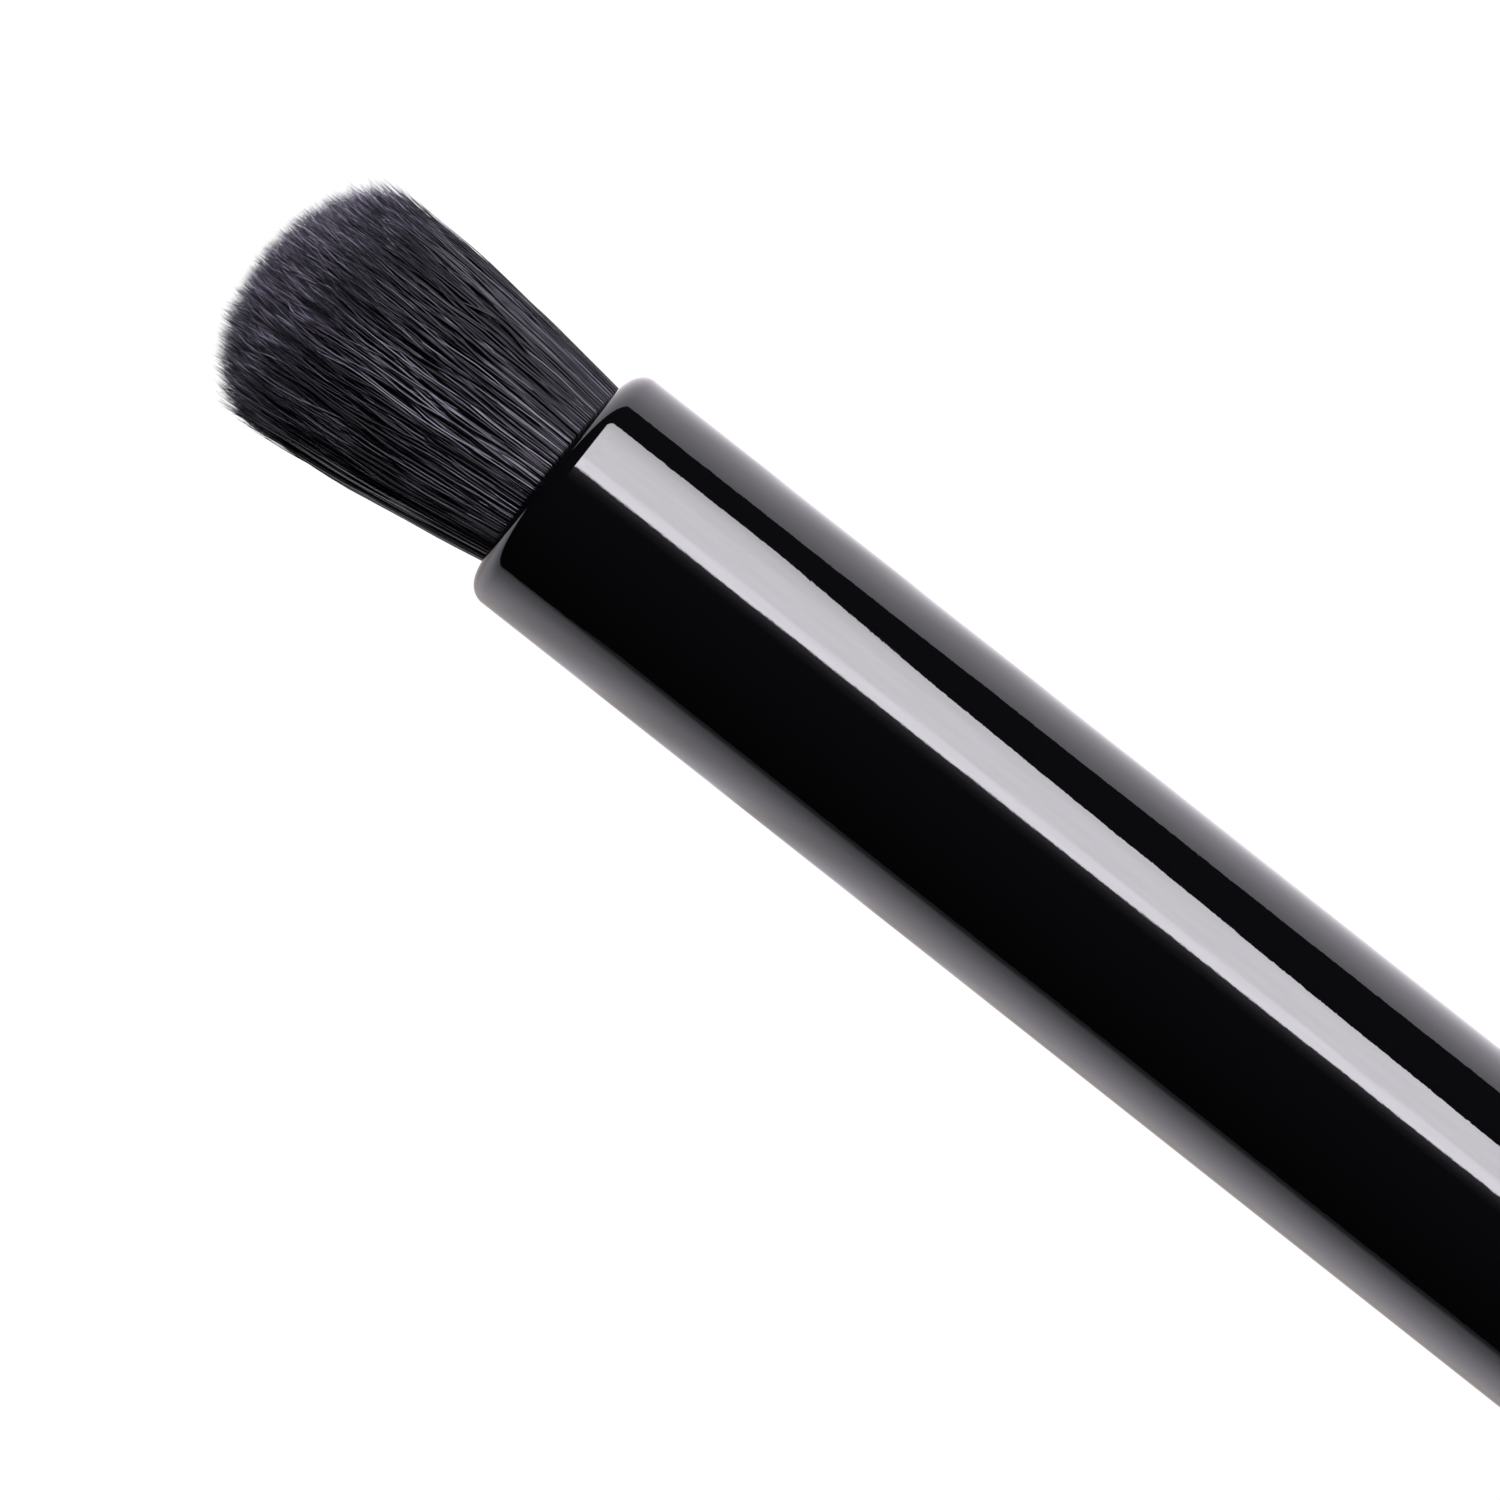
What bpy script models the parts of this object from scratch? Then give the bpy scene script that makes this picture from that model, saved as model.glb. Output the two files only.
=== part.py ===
"""Eyebrow brush: a domed tuft of black filaments in a gloss black barrel shaped like a pen.

Run it with blender --background --python part.py, or from Blender's text editor.
The brush lies on its side on Z = 0. +X runs along it from the tuft's tip to the tail, +Z is up, and the
origin is under the middle of its length. Each piece is modelled about the brush's axis, and an empty
at the middle of the barrel's mouth carries them all.
"""

import math
import random

import bmesh
import bpy
from mathutils import Matrix, Vector

MM = 0.001

# Driving sizes of the whole brush
OVERALL_LENGTH = 140.0 * MM
BARREL_RADIUS = 5.0 * MM
TUFT_LENGTH = 13.15 * MM  # from the mouth to the top of the dome
CLEARANCE = 0.1 * MM  # between pieces that seat on each other
FACETS = 48  # sides of the outer turned pieces, one of them facing down
INNER_FACETS = 24  # sides of the pieces sealed inside

# Barrel: a moulded tube whose front end turns in to a rounded lip
BORE_RADIUS = 4.3 * MM
MOUTH_RADIUS = 4.0 * MM
MOUTH_EDGE_BREAK = 0.04 * MM
LIP_DEPTH = 0.814 * MM  # length along the axis of the lip's rounding
LIP_THICKNESS = 1.0 * MM  # the lip's inner shoulder lies this far behind the mouth
EDGE_BREAK = 0.12 * MM  # small roundings and chamfers

# Tail plug: closes the barrel, flush with it
PLUG_HEAD_LENGTH = 4.0 * MM
PLUG_END_ROUNDING = 0.9 * MM
PLUG_SPIGOT_LENGTH = 9.0 * MM
PLUG_WALL = 1.0 * MM
SNAP_SETBACK = 5.0 * MM  # from the barrel's tail end to the middle of the snap groove
SNAP_GROOVE_WIDTH = 1.2 * MM
SNAP_GROOVE_DEPTH = 0.15 * MM
SNAP_BEAD_WIDTH = 0.72 * MM
SNAP_BEAD_HEIGHT = 0.12 * MM
CRUSH_RIBS = 6
CRUSH_RIB_RADIUS = 0.2 * MM
CRUSH_RIB_HEIGHT = 0.06 * MM  # how far a rib stands out of the spigot
CRUSH_RIB_LENGTH = 3.5 * MM
CRUSH_RIB_SETBACK = 0.6 * MM  # from the plug's shoulder

# Tuft cup: a drawn metal ferrule that stops on the lip's shoulder, with a narrow tail
CUP_WALL = 0.3 * MM
CUP_LENGTH = 8.3 * MM
CUP_TAIL_RADIUS = 3.25 * MM
CUP_TAIL_LENGTH = 4.0 * MM
CUP_BEAD_DEPTH = 0.22 * MM  # a groove rolled in from outside, which bites on the bound roots
CUP_BEAD_WIDTH = 0.9 * MM
CUP_BEAD_SETBACK = 2.1 * MM  # from the cup's step to the middle of the bead
GLUE_SHORT_OF_TAIL = 0.4 * MM

# Liner: the inner tube between the cup and the plug, which holds the weight
LINER_BORE_RADIUS = 3.35 * MM
LINER_STOP_SETBACK = 42.0 * MM  # from the liner's front to the web that stops the weight
LINER_STOP_THICKNESS = 1.2 * MM
LINER_STOP_HOLE_RADIUS = 1.5 * MM
GRIP_RIBS = 3
GRIP_RIB_RADIUS = 0.4 * MM
GRIP_RIB_SINK = 0.5 * MM  # how far each rib runs into the web
GRIP_RIB_OVERHANG = 1.0 * MM  # how far it runs past the weight's back end

# Balance weight: a steel rod
WEIGHT_RADIUS = 2.9 * MM
WEIGHT_LENGTH = 48.0 * MM
WEIGHT_CHAMFER = 0.5 * MM

# Bristle tuft: the strands and the glued slice of roots that holds them
ROOT_SLICE_SETBACK = 5.4 * MM  # from the mouth to the slice's front face
ROOT_SLICE_LENGTH = 3.0 * MM
ROOT_SLICE_RADIUS = 3.75 * MM
THREAD_GROOVE_RADIUS = 3.25 * MM
THREAD_GROOVE_MARGIN = 0.3 * MM
STRAND_RINGS = 11  # rings of strands round the one in the middle, each with six more than the last
CURVED_RINGS = 1  # the outermost rings, whose strands show along their length
ROOT_SPREAD = 3.5 * MM  # from the axis to the outermost strand's centre, here and below
MOUTH_SPREAD = 3.7 * MM
BELLY_SPREAD = 4.9 * MM
BELLY_SPREAD_UP = 4.73 * MM  # the same, up and down, so that the tuft clears the table
BELLY_HEIGHT = 9.4 * MM  # where the tuft is widest
DOME_EDGE_HEIGHT = 10.0 * MM  # where the outermost strands end
FLARE_POWER = 1.4
LEAN_AT_MOUTH = 0.085 * MM  # the tuft isn't quite central: plus is towards +Y
LEAN_AT_BELLY = -0.21 * MM
STRAND_RADIUS_AT_ROOT = 0.14 * MM
STRAND_RADIUS_AT_BELLY = 0.19 * MM
STRAND_TAPER = 1.4 * MM  # length of the pointed end
STRAND_SINK = 0.3 * MM  # how far each strand runs into the slice
STRAND_LENGTH_SCATTER = 0.25 * MM
STRAND_SIDES = 3

# Binding thread: wound round the roots before they are glued in
THREAD_RADIUS = 0.12 * MM
THREAD_PITCH = 0.66 * MM
THREAD_TURNS = 2.5
POINTS_PER_TURN = 24

# Places along the axis, behind the mouth
PLUG_FACE = OVERALL_LENGTH - TUFT_LENGTH
BARREL_LENGTH = PLUG_FACE - PLUG_HEAD_LENGTH - CLEARANCE
CUP_FRONT = LIP_THICKNESS + CLEARANCE
CUP_STEP = CUP_FRONT + CUP_LENGTH
LINER_FRONT = CUP_STEP + CLEARANCE
LINER_END = BARREL_LENGTH - PLUG_SPIGOT_LENGTH - CLEARANCE
WEIGHT_FRONT = LINER_FRONT + LINER_STOP_SETBACK + LINER_STOP_THICKNESS + CLEARANCE
GLUE_FRONT = ROOT_SLICE_SETBACK + ROOT_SLICE_LENGTH + CLEARANCE

CUP_RADIUS = BORE_RADIUS - CLEARANCE
SPIGOT_RADIUS = BORE_RADIUS - CLEARANCE
MOUTH_X = TUFT_LENGTH - OVERALL_LENGTH / 2
AXIS_HEIGHT = BARREL_RADIUS * math.cos(math.pi / FACETS)


def clear_scene():
    for old in list(bpy.data.objects):
        bpy.data.objects.remove(old)


def finish_material(name, colour, roughness, metallic=0.0):
    """A Principled BSDF with the piece's own linear colour."""
    material = bpy.data.materials.new(name)
    material.use_nodes = True
    shader = material.node_tree.nodes["Principled BSDF"]
    shader.inputs["Base Color"].default_value = (*colour, 1.0)
    shader.inputs["Roughness"].default_value = roughness
    shader.inputs["Metallic"].default_value = metallic
    return material


def add_object(name, data, material, carrier, behind_mouth=0.0):
    """Links a mesh or curve to the scene, carried by the empty, a distance behind the mouth."""
    piece = bpy.data.objects.new(name, data)
    bpy.context.scene.collection.objects.link(piece)
    piece.parent = carrier
    piece.location.x = behind_mouth
    if material:
        data.materials.append(material)
    return piece


def arc(centre, semi_axes, start, end, steps):
    """Points of an ellipse's arc as (along, radius), between two angles in degrees, both ends in."""
    turns = [math.radians(start + (end - start) * i / steps) for i in range(steps + 1)]
    return [(centre[0] + semi_axes[0] * math.cos(t), centre[1] + semi_axes[1] * math.sin(t)) for t in turns]


def mesh_from(shape, name):
    """Turns a bmesh into a smooth-shaded mesh with its faces pointing out."""
    bmesh.ops.recalc_face_normals(shape, faces=shape.faces)
    mesh = bpy.data.meshes.new(name)
    shape.to_mesh(mesh)
    shape.free()
    mesh.shade_smooth()
    mesh.set_sharp_from_angle(angle=math.radians(30))
    return mesh


def turned(name, outline, material, carrier, behind_mouth=0.0, facets=FACETS):
    """Spins an outline of (along, radius) points round the axis. One that starts and ends at
    radius 0 gives a solid piece, and any other is a ring's cross-section and closes on itself."""
    shape = bmesh.new()
    corners = [shape.verts.new((along, 0.0, -radius)) for along, radius in outline]
    edges = [shape.edges.new(pair) for pair in zip(corners, corners[1:])]
    if outline[0][1] > 0:
        edges.append(shape.edges.new((corners[-1], corners[0])))
    # Half a facet's turn, so that a flat facet and not an edge faces down
    bmesh.ops.rotate(shape, verts=corners, cent=(0, 0, 0), matrix=Matrix.Rotation(math.pi / facets, 3, "X"))
    bmesh.ops.spin(
        shape, geom=corners + edges, cent=(0, 0, 0), axis=(1, 0, 0), angle=math.tau, steps=facets, use_merge=True
    )
    bmesh.ops.remove_doubles(shape, verts=shape.verts, dist=1e-7)
    return add_object(name, mesh_from(shape, name), material, carrier, behind_mouth)


def make_helper(name, shape, carrier, behind_mouth=0.0):
    """A mesh that only a Boolean uses."""
    helper = add_object(name, mesh_from(shape, name), None, carrier, behind_mouth)
    helper.hide_render = True
    helper.display_type = "WIRE"
    return helper


def ribs_round(name, count, from_axis, rib_radius, start, end, carrier, behind_mouth):
    """Round bars along the axis, from start to end and evenly spaced at one distance from it."""
    shape = bmesh.new()
    for i in range(count):
        rib = bmesh.ops.create_cone(
            shape, cap_ends=True, segments=8, radius1=rib_radius, radius2=rib_radius, depth=end - start
        )["verts"]
        bmesh.ops.rotate(shape, verts=rib, cent=(0, 0, 0), matrix=Matrix.Rotation(math.pi / 2, 3, "Y"))
        bmesh.ops.translate(shape, verts=rib, vec=((start + end) / 2, 0, -from_axis))
        bmesh.ops.rotate(shape, verts=rib, cent=(0, 0, 0), matrix=Matrix.Rotation(math.tau * i / count, 3, "X"))
    return make_helper(name, shape, carrier, behind_mouth)


def join_with(piece, helper):
    union = piece.modifiers.new("join " + helper.name, "BOOLEAN")
    union.operation = "UNION"
    union.object = helper


def make_barrel(material, carrier):
    """The tube: its rounded lip, the groove that the plug snaps into, and an open tail."""
    lip_height = BARREL_RADIUS - MOUTH_RADIUS - MOUTH_EDGE_BREAK
    lip = arc((LIP_DEPTH, BARREL_RADIUS - lip_height), (LIP_DEPTH, lip_height), 180, 90, 8)
    mouth_edge = arc(
        (MOUTH_EDGE_BREAK, MOUTH_RADIUS + MOUTH_EDGE_BREAK), (MOUTH_EDGE_BREAK, MOUTH_EDGE_BREAK), 270, 180, 3
    )[:-1]
    groove = BARREL_LENGTH - SNAP_SETBACK
    half_width = SNAP_GROOVE_WIDTH / 2
    outline = [
        *lip,
        (BARREL_LENGTH - EDGE_BREAK, BARREL_RADIUS),
        (BARREL_LENGTH, BARREL_RADIUS - EDGE_BREAK),
        (BARREL_LENGTH, BORE_RADIUS + EDGE_BREAK),
        (BARREL_LENGTH - EDGE_BREAK, BORE_RADIUS),
        (groove + half_width, BORE_RADIUS),
        (groove + half_width - SNAP_GROOVE_DEPTH, BORE_RADIUS + SNAP_GROOVE_DEPTH),
        (groove - half_width + SNAP_GROOVE_DEPTH, BORE_RADIUS + SNAP_GROOVE_DEPTH),
        (groove - half_width, BORE_RADIUS),
        (LIP_THICKNESS, BORE_RADIUS),
        (LIP_THICKNESS, MOUTH_RADIUS),
        *mouth_edge,
    ]
    return turned("barrel", outline, material, carrier)


def make_tail_plug(material, carrier):
    """Head flush with the barrel, and a hollow spigot with a snap bead and crush ribs."""
    hollow_radius = SPIGOT_RADIUS - PLUG_WALL
    hollow_end = PLUG_HEAD_LENGTH - PLUG_WALL
    spigot_front = -PLUG_SPIGOT_LENGTH - CLEARANCE
    lead_in = 2 * EDGE_BREAK
    snap_bead = arc(
        (-SNAP_SETBACK - CLEARANCE, SPIGOT_RADIUS), (SNAP_BEAD_WIDTH / 2, SNAP_BEAD_HEIGHT), 180, 0, 4
    )
    end_rounding = arc(
        (PLUG_HEAD_LENGTH - PLUG_END_ROUNDING, BARREL_RADIUS - PLUG_END_ROUNDING),
        (PLUG_END_ROUNDING, PLUG_END_ROUNDING),
        90,
        0,
        6,
    )
    outline = [
        (hollow_end, 0.0),
        (hollow_end, hollow_radius),
        (spigot_front, hollow_radius),
        (spigot_front, SPIGOT_RADIUS - lead_in),
        (spigot_front + lead_in, SPIGOT_RADIUS),
        *snap_bead,
        (0.0, SPIGOT_RADIUS),
        (0.0, BARREL_RADIUS - EDGE_BREAK),
        (EDGE_BREAK, BARREL_RADIUS),
        *end_rounding,
        (PLUG_HEAD_LENGTH, 0.0),
    ]
    head_front = BARREL_LENGTH + CLEARANCE
    plug = turned("tail_plug", outline, material, carrier, head_front)
    ribs = ribs_round(
        "plug_ribs",
        CRUSH_RIBS,
        SPIGOT_RADIUS + CRUSH_RIB_HEIGHT - CRUSH_RIB_RADIUS,
        CRUSH_RIB_RADIUS,
        -CRUSH_RIB_SETBACK - CRUSH_RIB_LENGTH,
        -CRUSH_RIB_SETBACK,
        carrier,
        head_front,
    )
    join_with(plug, ribs)
    return plug


def make_tuft_cup(material, carrier):
    """One drawn wall, front to back: a straight length with its rolled bead, a step and a tail."""
    inner_radius = CUP_RADIUS - CUP_WALL
    bead = CUP_LENGTH - CUP_BEAD_SETBACK
    half_width = CUP_BEAD_WIDTH / 2
    tail_end = CUP_LENGTH + CUP_TAIL_LENGTH
    outside = [
        (0.0, CUP_RADIUS),
        *arc((bead, CUP_RADIUS), (half_width, CUP_BEAD_DEPTH), 180, 360, 5),
        (CUP_LENGTH - CUP_WALL, CUP_RADIUS),
        (CUP_LENGTH, CUP_RADIUS - CUP_WALL),
        (CUP_LENGTH, CUP_TAIL_RADIUS),
        (tail_end, CUP_TAIL_RADIUS),
    ]
    inside = [
        (0.0, inner_radius),
        *arc((bead, inner_radius), (half_width + CUP_WALL / 2, CUP_BEAD_DEPTH), 180, 360, 5),
        (CUP_LENGTH - CUP_WALL, inner_radius),
        (CUP_LENGTH - CUP_WALL, CUP_TAIL_RADIUS - CUP_WALL),
        (tail_end, CUP_TAIL_RADIUS - CUP_WALL),
    ]
    return turned("tuft_cup", outside + inside[::-1], material, carrier, CUP_FRONT)


def make_root_glue(material, carrier):
    """Resin poured in behind the tuft's roots: it fills the cup's shoulder and most of its tail."""
    body_radius = CUP_RADIUS - CUP_WALL - CLEARANCE
    tail_radius = CUP_TAIL_RADIUS - CUP_WALL - CLEARANCE
    shoulder = CUP_STEP - CUP_WALL - CLEARANCE - GLUE_FRONT
    tail_end = CUP_STEP + CUP_TAIL_LENGTH - GLUE_SHORT_OF_TAIL - GLUE_FRONT
    outline = [
        (0.0, 0.0),
        (0.0, body_radius),
        (shoulder, body_radius),
        (shoulder, tail_radius),
        (tail_end, tail_radius),
        (tail_end, 0.0),
    ]
    return turned("root_glue", outline, material, carrier, GLUE_FRONT, INNER_FACETS)


def make_liner(material, carrier):
    """Inner tube with a web that stops the weight, and ribs that grip it."""
    length = LINER_END - LINER_FRONT
    web = LINER_STOP_SETBACK
    web_back = web + LINER_STOP_THICKNESS
    outline = [
        (0.0, CUP_RADIUS - EDGE_BREAK),
        (EDGE_BREAK, CUP_RADIUS),
        (length - EDGE_BREAK, CUP_RADIUS),
        (length, CUP_RADIUS - EDGE_BREAK),
        (length, LINER_BORE_RADIUS),
        (web_back, LINER_BORE_RADIUS),
        (web_back, LINER_STOP_HOLE_RADIUS),
        (web, LINER_STOP_HOLE_RADIUS),
        (web, LINER_BORE_RADIUS),
        (0.0, LINER_BORE_RADIUS),
    ]
    liner = turned("liner", outline, material, carrier, LINER_FRONT, INNER_FACETS)
    ribs = ribs_round(
        "liner_ribs",
        GRIP_RIBS,
        WEIGHT_RADIUS + CLEARANCE + GRIP_RIB_RADIUS,
        GRIP_RIB_RADIUS,
        web_back - GRIP_RIB_SINK,
        web_back + WEIGHT_LENGTH + GRIP_RIB_OVERHANG,
        carrier,
        LINER_FRONT,
    )
    join_with(liner, ribs)
    return liner


def make_balance_weight(material, carrier):
    outline = [
        (0.0, 0.0),
        (0.0, WEIGHT_RADIUS - WEIGHT_CHAMFER),
        (WEIGHT_CHAMFER, WEIGHT_RADIUS),
        (WEIGHT_LENGTH - WEIGHT_CHAMFER, WEIGHT_RADIUS),
        (WEIGHT_LENGTH, WEIGHT_RADIUS - WEIGHT_CHAMFER),
        (WEIGHT_LENGTH, 0.0),
    ]
    return turned("balance_weight", outline, material, carrier, WEIGHT_FRONT, INNER_FACETS)


def make_binding_thread(material, carrier):
    """One thread wound round the roots. It prints the least gap between its own turns."""
    winding_radius = THREAD_GROOVE_RADIUS + CLEARANCE + THREAD_RADIUS
    count = int(THREAD_TURNS * POINTS_PER_TURN) + 1
    points = []
    for i in range(count):
        turn = i / POINTS_PER_TURN
        angle = math.tau * turn
        along = (turn - THREAD_TURNS / 2) * THREAD_PITCH
        points.append(Vector((along, winding_radius * math.cos(angle), winding_radius * math.sin(angle))))
    half_turn = POINTS_PER_TURN // 2
    gap = min((p - q).length for i, p in enumerate(points) for q in points[i + half_turn :]) - 2 * THREAD_RADIUS
    print(f"binding thread: least gap between turns {gap / MM:.2f} mm")
    curve = bpy.data.curves.new("binding_thread", "CURVE")
    curve.dimensions = "3D"
    curve.bevel_depth = THREAD_RADIUS
    curve.bevel_resolution = 1
    curve.use_fill_caps = True
    line = curve.splines.new("POLY")
    line.points.add(count - 1)
    for target, point in zip(line.points, points):
        target.co = (*point, 1.0)
    return add_object("binding_thread", curve, material, carrier, ROOT_SLICE_SETBACK + ROOT_SLICE_LENGTH / 2)


def tuft_spread(height, belly_spread):
    """How far the outermost strand's centre stands from the tuft's middle, at a height over the
    mouth. Heights below 0 are inside the barrel."""
    if height <= 0:
        return MOUTH_SPREAD + (MOUTH_SPREAD - ROOT_SPREAD) * height / ROOT_SLICE_SETBACK
    share = min(height / BELLY_HEIGHT, 1.0)
    return MOUTH_SPREAD + (belly_spread - MOUTH_SPREAD) * (1 - (1 - share) ** FLARE_POWER)


def tuft_lean(height):
    """How far the tuft's middle stands to the side of the axis, at a height over the mouth."""
    if height <= 0:
        return LEAN_AT_MOUTH * max(1 + height / ROOT_SLICE_SETBACK, 0.0)
    return LEAN_AT_MOUTH + (LEAN_AT_BELLY - LEAN_AT_MOUTH) * min(height / BELLY_HEIGHT, 1.0)


def strand_centre(place, bearing, height):
    """Centre of a strand at a height. place is 0 in the middle of the tuft and 1 at its edge.
    Every strand keeps its own place and bearing all the way up, so no two can cross."""
    across = place * tuft_spread(height, BELLY_SPREAD) * math.cos(bearing) + tuft_lean(height)
    up = place * tuft_spread(height, BELLY_SPREAD_UP) * math.sin(bearing)
    return Vector((-height, across, up))


def add_strand(shape, place, bearing, twist, tip_height, curved):
    """One tapering strand: a ring of corners at each height, and a point at its tip."""
    stations = [
        (-ROOT_SLICE_SETBACK - STRAND_SINK, STRAND_RADIUS_AT_ROOT),
        (0.0, STRAND_RADIUS_AT_ROOT),
        (tip_height - STRAND_TAPER, STRAND_RADIUS_AT_BELLY),
    ]
    if curved:
        stations.insert(2, (BELLY_HEIGHT / 2, (STRAND_RADIUS_AT_ROOT + STRAND_RADIUS_AT_BELLY) / 2))
    rings = []
    for height, radius in stations:
        centre = strand_centre(place, bearing, height)
        ring = []
        for side in range(STRAND_SIDES):
            angle = twist + math.tau * side / STRAND_SIDES
            ring.append(shape.verts.new(centre + Vector((0, radius * math.cos(angle), radius * math.sin(angle)))))
        rings.append(ring)
    shape.faces.new(rings[0])
    for lower, upper in zip(rings, rings[1:]):
        for i in range(STRAND_SIDES):
            j = (i + 1) % STRAND_SIDES
            shape.faces.new((lower[i], upper[i], upper[j], lower[j]))
    tip = shape.verts.new(strand_centre(place, bearing, tip_height))
    for i in range(STRAND_SIDES):
        shape.faces.new((rings[-1][i], tip, rings[-1][(i + 1) % STRAND_SIDES]))


def make_bristle_tuft(material, carrier):
    """Strands in rings round the middle one, their tips on a dome, joined to the slice of roots."""
    scatter = random.Random(7)
    shape = bmesh.new()
    for ring in range(STRAND_RINGS + 1):
        place = ring / STRAND_RINGS
        count = max(6 * ring, 1)
        dome = DOME_EDGE_HEIGHT + (TUFT_LENGTH - DOME_EDGE_HEIGHT) * math.sqrt(1 - place**2)
        curved = ring > STRAND_RINGS - CURVED_RINGS
        for i in range(count):
            bearing = math.tau * (i + 0.5 * (ring % 2)) / count
            # The middle strand keeps its full length, which is the tuft's
            shortening = STRAND_LENGTH_SCATTER * scatter.random() if ring else 0.0
            add_strand(shape, place, bearing, scatter.random() * math.tau, dome - shortening, curved)
    strands = make_helper("strands", shape, carrier)

    groove_front = THREAD_GROOVE_MARGIN
    groove_back = ROOT_SLICE_LENGTH - THREAD_GROOVE_MARGIN
    outline = [
        (0.0, 0.0),
        (0.0, ROOT_SLICE_RADIUS),
        (groove_front, ROOT_SLICE_RADIUS),
        (groove_front, THREAD_GROOVE_RADIUS),
        (groove_back, THREAD_GROOVE_RADIUS),
        (groove_back, ROOT_SLICE_RADIUS),
        (ROOT_SLICE_LENGTH, ROOT_SLICE_RADIUS),
        (ROOT_SLICE_LENGTH, 0.0),
    ]
    tuft = turned("bristle_tuft", outline, material, carrier, ROOT_SLICE_SETBACK, INNER_FACETS)
    join_with(tuft, strands)
    return tuft


def build():
    clear_scene()
    carrier = bpy.data.objects.new("mouth_centre", None)
    carrier.empty_display_size = 2.0 * MM
    bpy.context.scene.collection.objects.link(carrier)
    carrier.location = (MOUTH_X, 0.0, AXIS_HEIGHT)

    black_gloss = finish_material("black gloss ABS", (0.004, 0.004, 0.0045), 0.05)
    black_filament = finish_material("black nylon filament", (0.012, 0.011, 0.014), 0.4)
    aluminium = finish_material("drawn aluminium", (0.78, 0.78, 0.79), 0.3, 1.0)
    natural_plastic = finish_material("natural polypropylene", (0.75, 0.75, 0.72), 0.5)
    steel = finish_material("plain steel", (0.45, 0.45, 0.46), 0.35, 1.0)
    resin = finish_material("amber epoxy", (0.35, 0.22, 0.08), 0.2)
    cotton = finish_material("white cotton thread", (0.7, 0.68, 0.62), 0.8)

    make_barrel(black_gloss, carrier)
    make_tail_plug(black_gloss, carrier)
    make_tuft_cup(aluminium, carrier)
    make_root_glue(resin, carrier)
    make_liner(natural_plastic, carrier)
    make_balance_weight(steel, carrier)
    make_binding_thread(cotton, carrier)
    make_bristle_tuft(black_filament, carrier)


build()
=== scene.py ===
import math

import bpy
import numpy as np
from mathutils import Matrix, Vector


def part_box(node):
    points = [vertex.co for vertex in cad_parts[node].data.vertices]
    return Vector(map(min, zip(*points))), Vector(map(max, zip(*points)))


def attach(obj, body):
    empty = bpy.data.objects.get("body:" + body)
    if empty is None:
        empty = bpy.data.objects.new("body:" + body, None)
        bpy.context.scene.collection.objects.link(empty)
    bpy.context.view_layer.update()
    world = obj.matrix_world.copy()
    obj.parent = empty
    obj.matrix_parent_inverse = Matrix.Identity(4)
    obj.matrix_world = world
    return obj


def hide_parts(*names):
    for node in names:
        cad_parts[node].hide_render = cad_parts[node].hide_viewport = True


# Eyebrow brush: a tuft of black filament in a gloss black pen barrel, on a white sweep.
# The brush lies along X, tuft towards -X. In the settings lengths are in millimetres, angles in
# degrees, and places along the brush are measured backwards from the barrel's mouth.

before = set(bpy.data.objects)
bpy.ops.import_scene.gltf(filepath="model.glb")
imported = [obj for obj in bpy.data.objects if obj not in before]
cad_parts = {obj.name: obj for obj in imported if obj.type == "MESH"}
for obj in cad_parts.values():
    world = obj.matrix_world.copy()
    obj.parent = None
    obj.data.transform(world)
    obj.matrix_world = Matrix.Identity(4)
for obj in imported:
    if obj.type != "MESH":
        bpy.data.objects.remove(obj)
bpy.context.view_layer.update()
mm = 0.001

barrelLow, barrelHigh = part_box("barrel")
plugLow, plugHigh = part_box("tail_plug")
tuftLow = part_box("bristle_tuft")[0]
mouthX = barrelLow.x
axisHeight = (barrelLow.z + barrelHigh.z) / 2
barrelRadius = (barrelHigh.z - barrelLow.z) / 2
tuftLength = (mouthX - tuftLow.x) / mm
print(f"frame: mouth at x {mouthX / mm:.2f} mm, axis {axisHeight / mm:.2f} mm up")
print(f"frame: barrel radius {barrelRadius / mm:.2f} mm, tuft {tuftLength:.2f} mm long")


def linear(hexColour):
    # sRGB to linear: a channel c becomes c / 12.92,
    # or ((c + 0.055) / 1.055) to the power 2.4 above 0.04045
    channels = [int(hexColour[i : i + 2], 16) / 255 for i in (1, 3, 5)]
    return [c / 12.92 if c <= 0.04045 else ((c + 0.055) / 1.055) ** 2.4 for c in channels] + [1.0]


def curve(x, points):
    # straight lines through (x, value) points
    return np.interp(x, *np.array(points).T)


def placed(points):
    # from mm behind the mouth and off the axis to the frame's metres
    return points * mm + np.array([mouthX, 0, axisHeight])


def addNode(tree, kind, settings=None, links=None):
    # settings: the node's own properties first, then its sockets.
    # links: for a socket, the node and output that feed it
    node = tree.nodes.new(kind)
    for key, value in (settings or {}).items():
        if isinstance(key, str) and key not in node.inputs:
            setattr(node, key, value)
        else:
            node.inputs[key].default_value = value
    for socket, (source, output) in (links or {}).items():
        tree.links.new(source.outputs[output], node.inputs[socket])
    return node


def newMaterial(name, settings):
    # a Principled material with these sockets set
    material = bpy.data.materials.new(name)
    material.use_nodes = True
    shader = material.node_tree.nodes["Principled BSDF"]
    for socket, value in settings.items():
        shader.inputs[socket].default_value = value
    return material, material.node_tree, shader


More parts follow.
